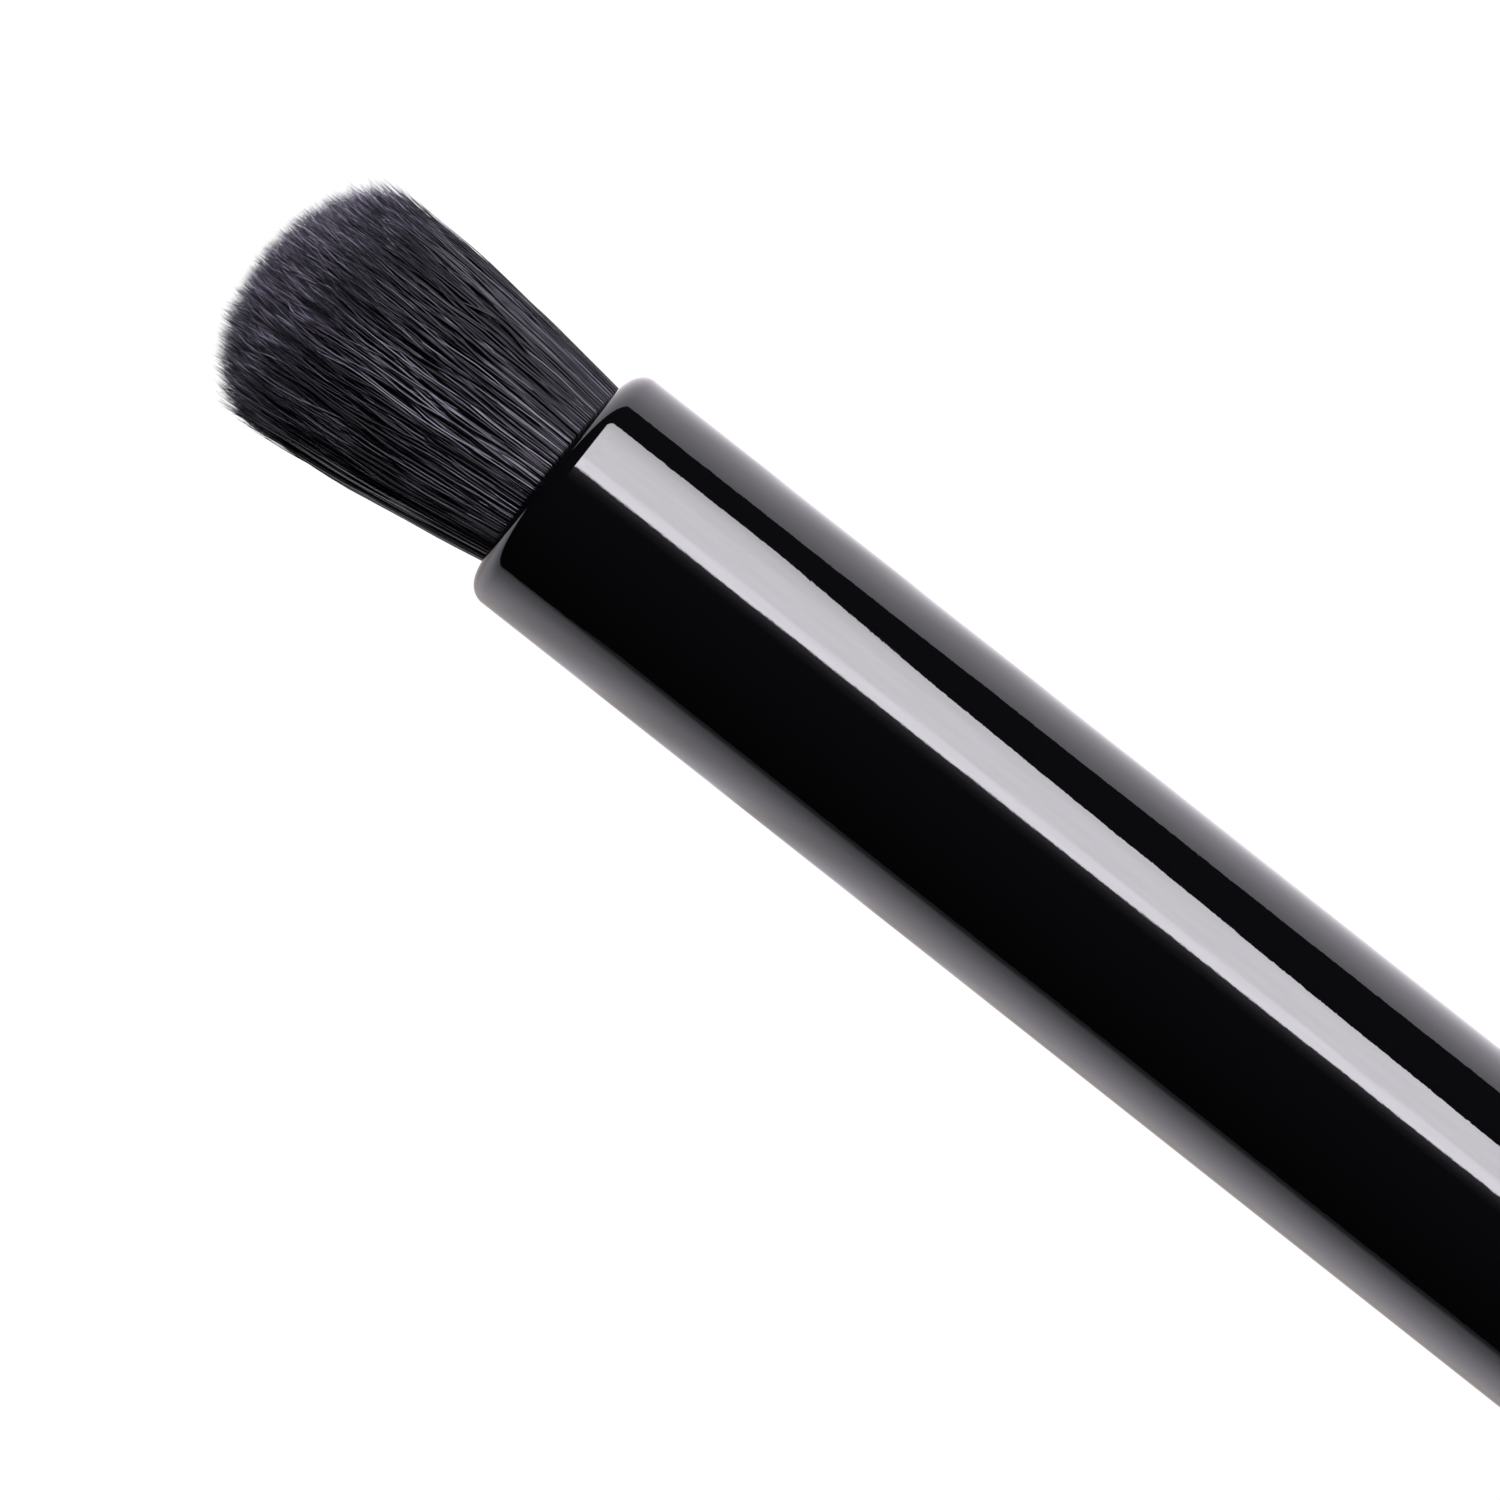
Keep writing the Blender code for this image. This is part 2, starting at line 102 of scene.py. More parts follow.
def glowing(name, hexColour):
    # a material that only gives off light
    material = bpy.data.materials.new(name)
    material.use_nodes = True
    tree = material.node_tree
    tree.nodes.clear()
    emission = addNode(tree, "ShaderNodeEmission", {"Color": linear(hexColour)})
    addNode(tree, "ShaderNodeOutputMaterial", {}, {"Surface": (emission, 0)})
    return material


def surface(name, points, faces, materials, attributes=None, closed=True, slots=None):
    # puts whole arrays into a mesh. faces: one index array for each number of corners.
    # attributes: one value for each point. slots: which of the materials each face has
    if closed and signedVolume(points, faces) < 0:
        faces = [block[:, ::-1] for block in faces]
    mesh = bpy.data.meshes.new(name)
    mesh.vertices.add(len(points))
    mesh.vertices.foreach_set("co", points.astype(np.float32).ravel())
    corners = np.concatenate([block.ravel() for block in faces])
    sizes = np.concatenate([np.full(len(block), block.shape[1]) for block in faces])
    mesh.loops.add(len(corners))
    mesh.loops.foreach_set("vertex_index", corners.astype(np.int32))
    mesh.polygons.add(len(sizes))
    mesh.polygons.foreach_set("loop_start", (np.cumsum(sizes) - sizes).astype(np.int32))
    mesh.update(calc_edges=True)
    for key, values in (attributes or {}).items():
        layer = mesh.attributes.new(key, "FLOAT", "POINT")
        layer.data.foreach_set("value", values.astype(np.float32).ravel())
    mesh.shade_smooth()
    if slots is not None:
        mesh.polygons.foreach_set("material_index", slots.astype(np.int32))
    piece = bpy.data.objects.new(name, mesh)
    bpy.context.scene.collection.objects.link(piece)
    for material in materials:
        mesh.materials.append(material)
    return piece


def signedVolume(points, faces):
    # sum over a fan of triangles of a . (b x c) / 6, positive where the faces point outwards
    total = 0.0
    for block in faces:
        for i in range(1, block.shape[1] - 1):
            a, b, c = points[block[:, 0]], points[block[:, i]], points[block[:, i + 1]]
            total += np.einsum("ij,ij->i", a, np.cross(b, c)).sum() / 6
    return total


def sheetFaces(rows, columns):
    # the quads of a grid of points, row by row
    index = np.arange(rows * columns).reshape(rows, columns)
    quads = [index[:-1, :-1], index[1:, :-1], index[1:, 1:], index[:-1, 1:]]
    return np.stack(quads, -1).reshape(-1, 4)


def arc(centre, semiAxes, start, end, steps):
    # centre + semiAxes * (cos t, sin t), as (along, radius), with t from start to end
    t = np.radians(np.linspace(start, end, steps + 1))
    along = centre[0] + semiAxes[0] * np.cos(t)
    return np.stack([along, centre[1] + semiAxes[1] * np.sin(t)], 1)


def straight(start, end, steps):
    # start * (1 - s) + end * s, with s closer together at each end so that shading stays flat
    s = np.concatenate([[0, 0.002, 0.008], np.linspace(0.02, 0.98, steps), [0.992, 0.998, 1]])
    return np.array(start) * (1 - s[:, None]) + np.array(end) * s[:, None]


def revolve(name, outline, around, materials, outwards=None):
    # turns (along, radius) points about the axis: y = r sin a, z = r cos a.
    # An outline that starts on the axis gets a pole at each end, and any other closes on itself.
    # outwards(along, a) adds to r
    keep = np.concatenate([[True], np.linalg.norm(np.diff(outline, axis=0), axis=1) > 1e-6])
    outline = outline[keep]
    poles = outline[0, 1] < 1e-9
    body = outline[1:-1] if poles else outline
    rings = len(body)
    angle = 2 * np.pi * (np.arange(around) + 0.5) / around
    along, radius = body[:, :1] + 0 * angle, body[:, 1:] + 0 * angle
    if outwards:
        radius = radius + outwards(along, angle[None, :] + 0 * along)
    points = np.stack([along, radius * np.sin(angle), radius * np.cos(angle)], -1).reshape(-1, 3)
    steps = rings - 1 if poles else rings
    ring, side = np.meshgrid(np.arange(steps), np.arange(around), indexing="ij")
    beside = (side + 1) % around
    here, after = ring * around, (ring + 1) % rings * around
    quads = np.stack([here + side, here + beside, after + beside, after + side], -1)
    faces = [quads.reshape(-1, 4)]
    if poles:
        points = np.concatenate([points, [[outline[0, 0], 0, 0], [outline[-1, 0], 0, 0]]])
        side, beside, lastRing = side[0], beside[0], (rings - 1) * around
        first, last = np.full(around, rings * around), np.full(around, rings * around + 1)
        faces.append(np.stack([beside, side, first], 1))
        faces.append(np.stack([lastRing + side, lastRing + beside, last], 1))
    return surface(name, placed(points), faces, materials)


# Camera: straight above the brush, turned so that the tail leaves the picture at the lower right
camera = {
    "turn": 38.32,
    "fieldOfView": 17.25,
    "above": 175.0,  # over the axis
    "behindMouth": 11.49,
    "aside": -3.19,
    "clip": (0.01, 20.0),  # metres
}
lens = bpy.data.cameras.new("camera")
lens.angle = math.radians(camera["fieldOfView"])
lens.clip_start, lens.clip_end = camera["clip"]
viewer = bpy.data.objects.new("camera", lens)
bpy.context.scene.collection.objects.link(viewer)
viewer.location = (
    mouthX + camera["behindMouth"] * mm,
    camera["aside"] * mm,
    axisHeight + camera["above"] * mm,
)
viewer.rotation_euler = (0, 0, math.radians(camera["turn"]))
bpy.context.scene.camera = viewer
bpy.context.scene.view_settings.view_transform = "Standard"
print("camera set")


# Table: plain white to the camera only, so it has no shadow on it and gives no light
table = {"side": 5200.0, "under": 0.04, "colour": "#ffffff", "glow": 1.04}


def makeTable():
    half = table["side"] / 2
    corners = [(-half, -half), (half, -half), (half, half), (-half, half)]
    points = np.array([(x, y, -table["under"]) for x, y in corners]) * mm
    material = glowing("white table", table["colour"])
    material.node_tree.nodes["Emission"].inputs["Strength"].default_value = table["glow"]
    top = surface("table", points, [np.array([[0, 1, 2, 3]])], [material], closed=False)
    top.visible_diffuse = top.visible_glossy = False
    top.visible_transmission = top.visible_shadow = False


# Sweep: what the brush mirrors and is lit by from below. Its glow is painted light on the floor: a
# painted pool of light beside the brush, a painted shadow of the brush where it dips under it, and
# less light further out. It ends near the softbox and rises slightly on the other side.
sweep = {
    "alongFine": (-75.0, 300.0, 61),  # rows of points: from, to, count
    "alongCoarse": (400.0, 2600.0, 12),
    "acrossCoarse": [0, 0.15, 0.3, 0.6, 0.8],  # columns, as shares of the way across
    "acrossFine": (0.86, 1.0, 140),
    "from": -2200,  # across the brush
    "farEdge": [(0, 175.0), (22, 100.0)],  # along the brush, across it
    "riseFrom": -1500,
    "rise": 110,
    "under": 0.02,
    "colour": "#a9a9aa",
    "glowColour": "#f3effb",
    "warmColour": "#fff5f3",
    "warmth": [(-13, 0), (-8, 1), (0, 1), (8, 0.4), (13, 0)],  # across the brush, share
    # painted floor light: peaks beside the brush as a painted pool of light, and the dip between -6
    # and 5 is a painted shadow of the brush
    "glow": [  # across the brush, strength
        (-2200, 0.2),
        (-206, 0.28),
        (-52, 0.5),
        (-29, 0.8),
        (-18, 1.05),
        (-11, 0.95),
        (-6, 0.6),
        (5, 0.6),
        (9, 0.95),
        (20, 1.1),
        (40, 0.9),
        (100, 0.6),
        (200, 0.4),
    ],
}


def makeSweep():
    # a sheet of points, closest together beside the brush, at height rise * share squared,
    # where share is how far a point has gone from riseFrom to the sweep's edge
    rows = [np.linspace(*sweep[key]) for key in ("alongFine", "alongCoarse")]
    along = np.concatenate(rows)[:, None]
    steps = np.concatenate([sweep["acrossCoarse"], np.linspace(*sweep["acrossFine"])])
    across = sweep["from"] + (curve(along, sweep["farEdge"]) - sweep["from"]) * steps
    share = np.clip((sweep["riseFrom"] - across) / (sweep["riseFrom"] - sweep["from"]), 0, 1)
    height = share**2 * sweep["rise"] - sweep["under"]
    points = np.stack([along + 0 * across, across, height], -1).reshape(-1, 3)
    points = points * mm + np.array([mouthX, 0, 0])
    material, tree, shader = newMaterial(
        "white sweep",
        {"Base Color": linear(sweep["colour"]), "Roughness": 1.0, "Specular IOR Level": 0.0},
    )
    # the glow attribute carries the painted pool of light beside the brush and the painted shadow
    # under it
    strength = addNode(tree, "ShaderNodeAttribute", {"attribute_name": "glow"})
    warmer = addNode(tree, "ShaderNodeAttribute", {"attribute_name": "warmth"})
    colours = {6: linear(sweep["glowColour"]), 7: linear(sweep["warmColour"])}
    colour = addNode(tree, "ShaderNodeMix", {"data_type": "RGBA", **colours}, {0: (warmer, "Fac")})
    tree.links.new(strength.outputs["Fac"], shader.inputs["Emission Strength"])
    tree.links.new(colour.outputs[2], shader.inputs["Emission Color"])
    attributes = {key: curve(across, sweep[key]) for key in ("glow", "warmth")}
    faces = [sheetFaces(*across.shape)]
    sheet = surface("sweep", points, faces, [material], attributes, closed=False)
    sheet.visible_camera = False


# Softbox: one long panel over the +Y side. It is drawn by the angles at which the brush sees it,
# measured from straight up, so that its reflection falls where it should on the barrel.
softbox = {
    "rows": 100,
    "columns": 80,
    "distance": 450.0,
    "nearEdge": 8.0,
    "widest": 70.0,
    "farEdge": [  # along the brush, angle
        (-260, 67.7),
        (0, 68.1),
        (20, 62.6),
        (32, 60.7),
        (57, 58.0),
        (82, 54.7),
        (110, 52.0),
        (145, 49.5),
        (240, 46.0),
    ],
    "tuftEnd": [(8, -172.0), (21, -178.0), (71, -207.0)],  # angle, along the brush
    "tailEnd": 240.0,
    "glow": [  # angle, strength
        (8, 0.02),
        (13.0, 0.15),
        (18.0, 0.55),
        (18.4, 2.0),
        (18.8, 14.5),
        (19.8, 17.8),
        (26.5, 17.4),
        (28.4, 16.4),
        (29.4, 14.9),
        (49, 14.6),
        (54, 13.6),
        (60, 12.6),
        (68, 10.0),
    ],
    "colour": "#f7f3fb",
    "uneven": 0.03,  # share by which its cloth's streaks are lighter or darker
    "streaks": (3.1, 5.0, 1.7, 23.0),  # lengths and angles of their waves
}


def makeSoftbox():
    # a sheet of points at the panel's distance, each in the direction of its angle. With a to d
    # from the settings, its streaks are
    # sin(along / a + 2 sin(angle / b)) * sin(angle / c + 3 sin(along / d))
    near = softbox["nearEdge"]
    share = np.linspace(0, 1, softbox["columns"])
    start = curve(near + (softbox["widest"] - near) * share, softbox["tuftEnd"])
    along = start + (softbox["tailEnd"] - start) * np.linspace(0, 1, softbox["rows"])[:, None]
    angle = near + (curve(along, softbox["farEdge"]) - near) * share
    turn = np.radians(angle)
    aside, up = softbox["distance"] * np.sin(turn), softbox["distance"] * np.cos(turn)
    points = placed(np.stack([along, aside, up], -1).reshape(-1, 3))
    a, b, c, d = softbox["streaks"]
    streaks = np.sin(along / a + 2 * np.sin(angle / b)) * np.sin(angle / c + 3 * np.sin(along / d))
    glow = {"glow": curve(angle, softbox["glow"]) * (1 + softbox["uneven"] * streaks)}
    material = glowing("softbox cloth", softbox["colour"])
    tree = material.node_tree
    strength = addNode(tree, "ShaderNodeAttribute", {"attribute_name": "glow"})
    tree.links.new(strength.outputs["Fac"], tree.nodes["Emission"].inputs["Strength"])
    faces = [sheetFaces(*angle.shape)]
    panel = surface("softbox", points, faces, [material], glow, closed=False)
    panel.visible_camera = False


studio = {"colour": "#ffffff", "seen": 1.05, "mirrored": 0.01}


def makeWorld():
    # white to the eye and nearly black to all else, so gloss shows only the sweep and the softbox
    world = bpy.data.worlds.new("studio")
    world.use_nodes = True
    tree = world.node_tree
    tree.nodes.clear()
    white = {"Color": linear(studio["colour"])}
    rays = addNode(tree, "ShaderNodeLightPath")
    seen = addNode(tree, "ShaderNodeBackground", {**white, "Strength": studio["seen"]})
    dim = addNode(tree, "ShaderNodeBackground", {**white, "Strength": studio["mirrored"]})
    choice = {0: (rays, "Is Camera Ray"), 1: (dim, 0), 2: (seen, 0)}
    both = addNode(tree, "ShaderNodeMixShader", {}, choice)
    addNode(tree, "ShaderNodeOutputWorld", {}, {"Surface": (both, 0)})
    bpy.context.scene.world = world


makeTable()
makeSweep()
makeSoftbox()
makeWorld()
print("studio lit")


# Barrel and tail plug: ABS mouldings under black piano lacquer
lacquer = {
    "colour": "#040405",
    "ior": 1.5,
    "roughness": (0.01, 0.03),  # polished, with a few duller patches
    "patch": 6.0,
    "patchEdges": (0.35, 0.75),  # of the noise, from polished to dull
    "peel": (5.0, 1.1, 1.1),  # waves of its faint orange peel, along the brush and across it
    "polish": (0.35, 0.16, 0.16),  # fine marks of polishing, likewise
    "polishHeight": 0.0007,
}


def stretchedNoise(tree, waves, detail):
    # noise with waves of these lengths along X, Y and Z
    place = addNode(tree, "ShaderNodeTexCoord")
    scale = [1 / (wave * mm) for wave in waves]
    stretched = addNode(tree, "ShaderNodeMapping", {"Scale": scale}, {"Vector": (place, "Object")})
    settings = {"Scale": 1.0, "Detail": detail}
    return addNode(tree, "ShaderNodeTexNoise", settings, {"Vector": (stretched, 0)})


def lacquerMaterial(name, peelHeight):
    # wet-looking black: sharp reflections, whose edges waver slightly where the lacquer flowed
    settings = {"Base Color": linear(lacquer["colour"]), "IOR": lacquer["ior"]}
    material, tree, shader = newMaterial(name, settings)
    place = addNode(tree, "ShaderNodeTexCoord")
    patches = addNode(
        tree,
        "ShaderNodeTexNoise",
        {"Scale": 1 / (lacquer["patch"] * mm), "Detail": 3.0},
        {"Vector": (place, "Object")},
    )
    polished, dull = lacquer["patchEdges"]
    low, high = lacquer["roughness"]
    duller = addNode(
        tree,
        "ShaderNodeMapRange",
        {"From Min": polished, "From Max": dull, "To Min": low, "To Max": high},
        {"Value": (patches, "Fac")},
    )
    peel = stretchedNoise(tree, lacquer["peel"], 1.0)
    bump = addNode(tree, "ShaderNodeBump", {"Distance": peelHeight * mm}, {"Height": (peel, "Fac")})
    marks = stretchedNoise(tree, lacquer["polish"], 2.0)
    bump = addNode(
        tree,
        "ShaderNodeBump",
        {"Distance": lacquer["polishHeight"] * mm},
        {"Height": (marks, "Fac"), "Normal": (bump, "Normal")},
    )
    tree.links.new(duller.outputs["Result"], shader.inputs["Roughness"])
    tree.links.new(bump.outputs["Normal"], shader.inputs["Normal"])
    return material


barrel = {
    "mouthRadius": 4.0,
    "mouthEdge": 0.04,
    "boreRadius": 4.3,
    "lipDepth": 0.814,
    "lipThickness": 1.0,
    "edge": 0.12,
    "snapSetback": 5.0,  # of the groove that the plug's bead snaps into
    "snapWidth": 1.2,
    "snapDepth": 0.15,
    "around": 256,
    "peelHeight": 0.004,
}


def makeBarrel(material):
    # the wall's outline turned about the axis: a quarter ellipse for the lip, the outside,
    # the tail's rounded edge, and back through the bore past the snap groove to the mouth
    outer = barrelRadius / mm
    length = (barrelHigh.x - barrelLow.x) / mm
    edge, mouth, bore = barrel["edge"], barrel["mouthRadius"], barrel["boreRadius"]
    depth, shoulder, mouthEdge = barrel["lipDepth"], barrel["lipThickness"], barrel["mouthEdge"]
    lipHeight = outer - mouth - mouthEdge
    groove = length - barrel["snapSetback"]
    half, deep = barrel["snapWidth"] / 2, barrel["snapDepth"]
    outline = np.concatenate(
        [
            arc((depth, outer - lipHeight), (depth, lipHeight), 180, 90, 28),
            straight((depth, outer), (length - edge, outer), 120),
            arc((length - edge, outer - edge), (edge, edge), 90, 0, 6),
            arc((length - edge, bore + edge), (edge, edge), 0, -90, 6),
            [(groove + half, bore), (groove + half - deep, bore + deep)],
            [(groove - half + deep, bore + deep), (groove - half, bore)],
            straight((groove - half, bore), (shoulder, bore), 20),
            [(shoulder, mouth)],
            arc((mouthEdge, mouth + mouthEdge), (mouthEdge, mouthEdge), 270, 180, 5)[:-1],
        ]
    )
    piece = revolve("barrelShell", outline, barrel["around"], [material])
    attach(piece, "root")
    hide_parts("barrel")


plug = {
    "headLength": 4.0,
    "endRounding": 0.9,
    "spigotRadius": 4.2,
    "wall": 1.0,
    "beadSetback": 5.1,
    "beadWidth": 0.72,
    "beadHeight": 0.12,
    "ribs": 6,
    "ribHeight": 0.06,
    "ribWidth": 0.12,
    "ribLength": 3.5,
    "ribSetback": 0.6,
    "ribMargin": 0.01,  # of round spigot at each end of the ribs
    "endMiddle": 0.3,  # radius inside which the flat end is a fan of triangles
    "around": 256,
    "peelHeight": 0.0012,  # its flat end would show more
}


def makePlug(material):
    # an outline turned about the axis, from the hollow's floor along the inside of the spigot,
    # back over its snap bead and ribs, and over the head to the middle of its flat end
    outer = barrelRadius / mm
    face = (plugHigh.x - mouthX) / mm
    front = (plugLow.x - mouthX) / mm
    shoulder = face - plug["headLength"]
    spigot, wall = plug["spigotRadius"], plug["wall"]
    rounding, edge = plug["endRounding"], barrel["edge"]
    bead = (plug["beadWidth"] / 2, plug["beadHeight"])
    ribsTo = shoulder - plug["ribSetback"]
    ribsFrom = ribsTo - plug["ribLength"]
    margin = plug["ribMargin"]

    def ribs(along, angle):
        # each crush rib: height * exp(-(arc distance / width) squared), on the spigot only
        step = 2 * np.pi / plug["ribs"]
        off = (angle + step / 2) % step - step / 2
        height = plug["ribHeight"] * np.exp(-((off * spigot / plug["ribWidth"]) ** 2))
        return np.where((along > ribsFrom) & (along < ribsTo), height, 0)

    outline = np.concatenate(
        [
            [(face - wall, 0.0), (face - wall, spigot - wall)],
            straight((face - wall, spigot - wall), (front, spigot - wall), 8),
            [(front, spigot - 2 * edge), (front + 2 * edge, spigot)],
            arc((shoulder - plug["beadSetback"], spigot), bead, 180, 0, 10),
            straight((ribsFrom - margin, spigot), (ribsTo + margin, spigot), 12),
            [(shoulder, spigot)],
            arc((shoulder + edge, outer - edge), (edge, edge), 180, 90, 6),
            straight((shoulder + edge, outer), (face - rounding, outer), 12),
            arc((face - rounding, outer - rounding), (rounding, rounding), 90, 0, 24),
            straight((face, outer - rounding), (face, plug["endMiddle"]), 10),
            [(face, 0.0)],
        ]
    )
    piece = revolve("plugShell", outline, plug["around"], [material], ribs)
    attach(piece, "root")
    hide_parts("tail_plug")


makeBarrel(lacquerMaterial("black piano lacquer on ABS", barrel["peelHeight"]))
makePlug(lacquerMaterial("black piano lacquer on the plug", plug["peelHeight"]))
print("barrel and plug turned")


# Tuft: fine tapered filament in bundles and locks, cut to a dome
tuft = {
    "filaments": 7800,
    "parts": 6,  # meshes that share them
    "seed": 11,
    # where each stands, on a disc of radius 1
    "jitter": 0.7,  # times their spacing
    "rim": (0.95, 1.0),  # where those that fall outside are put back
    "bundles": 1800,
    "locks": 320,
    "clumpJitter": 0.25,
    "toBundle": 0.12,  # most of the way that a filament leans towards its bundle's middle
    "bundleWave": 0.85,  # of half a wave, over the tuft's length
    "toLock": 0.08,  # likewise its lock's middle
    "lockBy": 0.5,  # share of the length at which it is reached
    "drift": 0.05,  # how far it strays from its own place towards its tip
    "driftPower": 1.5,
    "heldFrom": 0.9,  # past here it is held back
    "heldGive": 0.1,
    # the tuft's form
    "rootDepth": 5.7,
    "rootSpread": 3.55,
    "mouthSpread": 3.95,
    "bellySpread": 5.0,
    "bellySpreadUp": 4.87,
    "bellyHeight": 9.4,
    "flare": 1.5,
    "leanMouth": 0.1,
    "leanBelly": -0.21,
    "domeEdge": 9.8,
    "overshoot": -0.04,
    "shortening": (0.34, 2.0),  # usual and most
    "stations": [*np.linspace(0, 0.9, 14), 0.95, 0.98, 1.0],  # shares of a filament's length
    "stationShift": 0.035,
    "leastHeight": 0.05,  # over the table
    # each filament's own bends
    "bend": 0.035,  # of a lock and of a bundle
    "ownBend": (0.06, 0.25),  # usual and most
    "bendWaves": (0.5, 2.5),
    "crimp": 0.1,
    "crimpWaves": (2.0, 3.8),
    "easeBy": 0.35,  # share of the length at which the bends are full
    "sideFrom": 0.6,  # past here, to either side, they fade
    "atSide": 0.25,  # to this share
    "splay": 0.12,  # near the tip
    "farthest": 2.0,  # times the usual splay
    # its thickness
    "thickness": 0.06,  # radius of the three corners, for a filament about 0.1 across
    "tipThickness": 0.002,
    "taper": 4.5,
    "taperPower": 1.25,
    "fringeFrom": 0.9,  # past here, on the softbox's side, the tuft thins out
    "thinned": 0.8,  # share of the outermost filaments that move inwards
    "fringeThickness": 0.4,
    "tonePower": 3,  # most are dark, a few are light
}


def sunflower(count, rng, jitter):
    # points evenly over a disc: radius sqrt((i + 0.5) / n), turned by the golden angle each time
    i = np.arange(count)
    radius = np.sqrt((i + 0.5) / count)
    turn = i * np.pi * (3 - math.sqrt(5))
    points = np.stack([radius * np.cos(turn), radius * np.sin(turn)], 1)
    return points + rng.normal(0, jitter / math.sqrt(count), points.shape)


def nearest(points, centres):
    # index of the centre nearest to each point
    return np.argmin(((points[:, None] - centres[None]) ** 2).sum(2), 1)


def wander(count, height, size, waves, rng):
    # for each strand, size * mean of three sines of its height, in both directions across it
    waves = rng.uniform(*waves, (3, count, 1, 2))
    phase = rng.uniform(0, 2 * np.pi, (3, count, 1, 2))
    share = height[:, :, None] / tuftLength
    return size * (np.sin(2 * np.pi * waves * share + phase) - np.sin(phase)).mean(0)


def strays(rng, shape):
    # a normal spread without its far ends
    return np.clip(rng.normal(0, 1, shape), -tuft["farthest"], tuft["farthest"])


def spreadAt(height, belly):
    # the tuft's half width: a straight line inside the barrel, and outside it
    # mouth + (belly - mouth) * (1 - (1 - share of the way to the belly) to the power flare)
    mouth, root = tuft["mouthSpread"], tuft["rootSpread"]
    inside = mouth + (mouth - root) * height / tuft["rootDepth"]
    share = np.clip(height / tuft["bellyHeight"], 0, 1)
    outside = mouth + (belly - mouth) * (1 - (1 - share) ** tuft["flare"])
    return np.where(height <= 0, inside, outside)


def leanAt(height):
    # how far aside the tuft's middle is: a straight line from the mouth to the belly
    share = np.clip(height / tuft["bellyHeight"], 0, 1)
    return tuft["leanMouth"] + (tuft["leanBelly"] - tuft["leanMouth"]) * share


def growFilaments(rng):
    # centres, radii and distance left to the tip, of every filament at each of its stations.
    # Its spot on the disc leans by a share w to a clump's middle, spot * (1 - w) + middle * w.
    # The spot times the tuft's spread at that height, and the bends, give its path
    count = tuft["filaments"]
    own = sunflower(count, rng, tuft["jitter"])
    out = np.linalg.norm(own, axis=1, keepdims=True)
    own = np.where(out > 1, own / out * rng.uniform(*tuft["rim"], (count, 1)), own)
    fringe = np.clip((own[:, 0] - tuft["fringeFrom"]) / (1 - tuft["fringeFrom"]), 0, 1)
    own[rng.random(count) < tuft["thinned"] * fringe, 0] -= 1 - tuft["fringeFrom"]
    bundleCentres = sunflower(tuft["bundles"], rng, tuft["clumpJitter"])
    lockCentres = sunflower(tuft["locks"], rng, tuft["clumpJitter"])
    bundle = nearest(own, bundleCentres)
    lock = nearest(bundleCentres, lockCentres)[bundle]

    # stations: one at the root, then from the mouth to the tip, which lies on a quarter ellipse
    place = np.clip(np.linalg.norm(own, axis=1), 0, 1)
    dome = tuft["domeEdge"] + (tuftLength - tuft["domeEdge"]) * np.sqrt(1 - place**2)
    usual, most = tuft["shortening"]
    tip = dome + tuft["overshoot"] - np.minimum(rng.exponential(usual, count), most)
    outside = np.array(tuft["stations"])
    slack = tuft["stationShift"]
    shift = np.sin(np.pi * outside) ** 0.5 * rng.uniform(-slack, slack, (count, 1))
    root = np.full((count, 1), -tuft["rootDepth"])
    height = np.sort(np.concatenate([root, tip[:, None] * (outside + shift)], 1), 1)
    left = tip[:, None] - height

    share = np.clip(height / tuftLength, 0, 1)[:, :, None]
    toBundle = tuft["toBundle"] * np.sin(np.pi * np.clip(share * tuft["bundleWave"], 0, 1))
    toLock = tuft["toLock"] * np.clip(share / tuft["lockBy"], 0, 1)
    spot = own[:, None] * (1 - toBundle) + bundleCentres[bundle][:, None] * toBundle
    spot = spot * (1 - toLock) + lockCentres[lock][:, None] * toLock
    spot = spot + rng.normal(0, tuft["drift"], (count, 1, 2)) * share ** tuft["driftPower"]
    out = np.linalg.norm(spot, axis=2, keepdims=True)
    hold, give = tuft["heldFrom"], tuft["heldGive"]
    held = np.where(out > hold, hold + give * np.tanh((out - hold) / give), out)
    spot = spot * held / np.maximum(out, 1e-6)
    across = spot[:, :, 0] * spreadAt(height, tuft["bellySpread"]) + leanAt(height)
    up = spot[:, :, 1] * spreadAt(height, tuft["bellySpreadUp"])

    usual, most = tuft["ownBend"]
    size = np.minimum(rng.exponential(usual, count), most)[:, None, None]
    bend, waves = tuft["bend"], tuft["bendWaves"]
    bends = wander(tuft["locks"], height[:1], bend, waves, rng)[lock]
    bends = bends + wander(tuft["bundles"], height[:1], bend, waves, rng)[bundle]
    bends = bends + wander(count, height, 1.0, waves, rng) * size
    bends = bends + wander(count, height, tuft["crimp"], tuft["crimpWaves"], rng)
    ease = np.clip(share / tuft["easeBy"], 0, 1)
    aside = (np.abs(own[:, :1, None]) - tuft["sideFrom"]) / (1 - tuft["sideFrom"])
    kept = 1 - (1 - tuft["atSide"]) * np.clip(aside, 0, 1)
    nearTip = np.clip(1 - left / tuft["taper"], 0, 1)[:, :, None]
    bends = bends * ease * kept + strays(rng, (count, 1, 2)) * tuft["splay"] * nearTip**2
    centres = np.stack([-height, across + bends[:, :, 0], up + bends[:, :, 1]], -1)

    thin = np.clip(left / tuft["taper"], 0, 1) ** tuft["taperPower"]
    thickness = tuft["thickness"] * (1 - (1 - tuft["fringeThickness"]) * fringe[:, None])
    radii = tuft["tipThickness"] + (thickness - tuft["tipThickness"]) * thin
    return centres, radii, left


